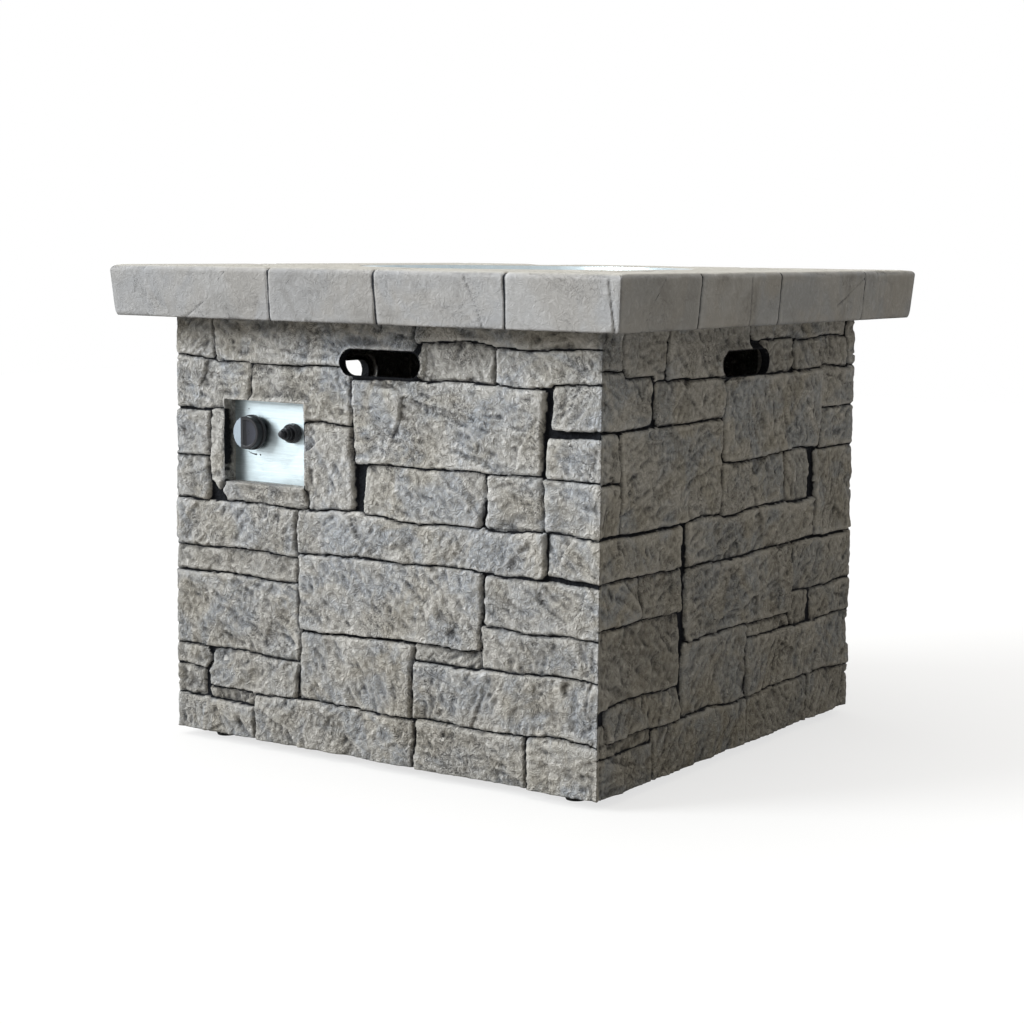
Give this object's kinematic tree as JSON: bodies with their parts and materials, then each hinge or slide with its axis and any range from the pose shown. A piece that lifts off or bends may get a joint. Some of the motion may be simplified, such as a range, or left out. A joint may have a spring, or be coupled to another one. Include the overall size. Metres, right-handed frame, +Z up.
{
  "type": "gas fire pit table",
  "caption": "Square stone-look gas fire pit table with a round burner bowl, control knob, push igniter and a side door for the gas cylinder.",
  "frame": {"origin": "on the floor under the middle of the table", "axes": "+Z up; the wall with the control panel faces -Y; the door is in the -X wall"},
  "size_m": [0.762, 0.762, 0.61],
  "materials": {
    "moulded_stone": "matt moulded stone with dark washed joints",
    "top_stone": "matt moulded stone, pale cream on top",
    "black_rubber": "matt",
    "stainless_steel": "brushed",
    "zinc_steel": "zinc plated",
    "brass": "machined",
    "cast_aluminium": "cast",
    "black_plastic": "satin black",
    "silver_insert": "satin silver",
    "white_ceramic": "glazed",
    "lava_rock": "porous dark lava",
    "battery_wrap": "printed sleeve, plain"
  },
  "bodies": {
    "table": {"air_mixer": "cast_aluminium", "bracket_screws": "zinc_steel", "burner_hub": "zinc_steel", "burner_ring": "stainless_steel", "control_plate": "stainless_steel", "cylinder_ring": "zinc_steel", "cylinder_tray": "zinc_steel", "feed_elbow": "cast_aluminium", "fire_bowl": "stainless_steel", "flame_probe": "stainless_steel", "foot_screws": "zinc_steel", "gas_inlet": "brass", "gas_tube": "cast_aluminium", "heat_shield": "zinc_steel", "hinge_leaf_fixed_high": "zinc_steel", "hinge_leaf_fixed_low": "zinc_steel", "hinge_pin_high": "zinc_steel", "hinge_pin_low": "zinc_steel", "hinge_screws_wall": "zinc_steel", "igniter_battery": "battery_wrap", "igniter_body": "black_plastic", "igniter_collar": "black_plastic", "igniter_spring": "zinc_steel", "ignition_lead": "black_plastic", "jam_nut": "zinc_steel", "lava_rocks_lower": "lava_rock", "lava_rocks_upper": "lava_rock", "magnet_catch": "black_plastic", "orifice_fitting": "brass", "plate_screws": "zinc_steel", "rubber_foot_1": "black_rubber", "rubber_foot_2": "black_rubber", "rubber_foot_3": "black_rubber", "rubber_foot_4": "black_rubber", "sensor_clip": "zinc_steel", "shield_spacers": "zinc_steel", "spark_insulator": "white_ceramic", "spark_rod": "stainless_steel", "stone_body": "moulded_stone", "table_top": "top_stone", "thermocouple_lead": "brass", "top_bracket_1": "zinc_steel", "top_bracket_2": "zinc_steel", "top_bracket_3": "zinc_steel", "top_bracket_4": "zinc_steel", "valve_body": "cast_aluminium", "valve_screws": "zinc_steel"},
    "door": {"access_door": "moulded_stone", "hinge_leaf_door_low": "zinc_steel", "hinge_leaf_door_high": "zinc_steel", "hinge_screws_door": "zinc_steel", "catch_strike": "zinc_steel"},
    "valve_plug": {"valve_plug": "brass", "valve_spring": "zinc_steel"},
    "knob": {"control_knob": "black_plastic", "knob_face": "silver_insert", "valve_stem": "zinc_steel"},
    "igniter_button": {"igniter_button": "black_plastic"}
  },
  "joints": [
    {"name": "door_hinge", "type": "hinge", "parent": "table", "child": "door", "pos_m": [-0.331, -0.2047, 0.266], "axis": [0, 0, 1], "range_deg": [0, 110]},
    {"name": "knob_turn", "type": "hinge", "parent": "table", "child": "valve_plug", "pos_m": [-0.203, -0.29, 0.402], "axis": [0, -1, 0], "range_deg": [0, 180]},
    {"name": "knob_push", "type": "slide", "parent": "valve_plug", "child": "knob", "axis": [0, 1, 0], "range_m": [0, 0.005], "stiffness_N_per_m": 800, "springref_m": -0.003, "deforming": ["valve_spring"]},
    {"name": "igniter_push", "type": "slide", "parent": "table", "child": "igniter_button", "axis": [0, 1, 0], "range_m": [0, 0.005], "stiffness_N_per_m": 600, "springref_m": -0.003, "deforming": ["igniter_spring"]}
  ]
}
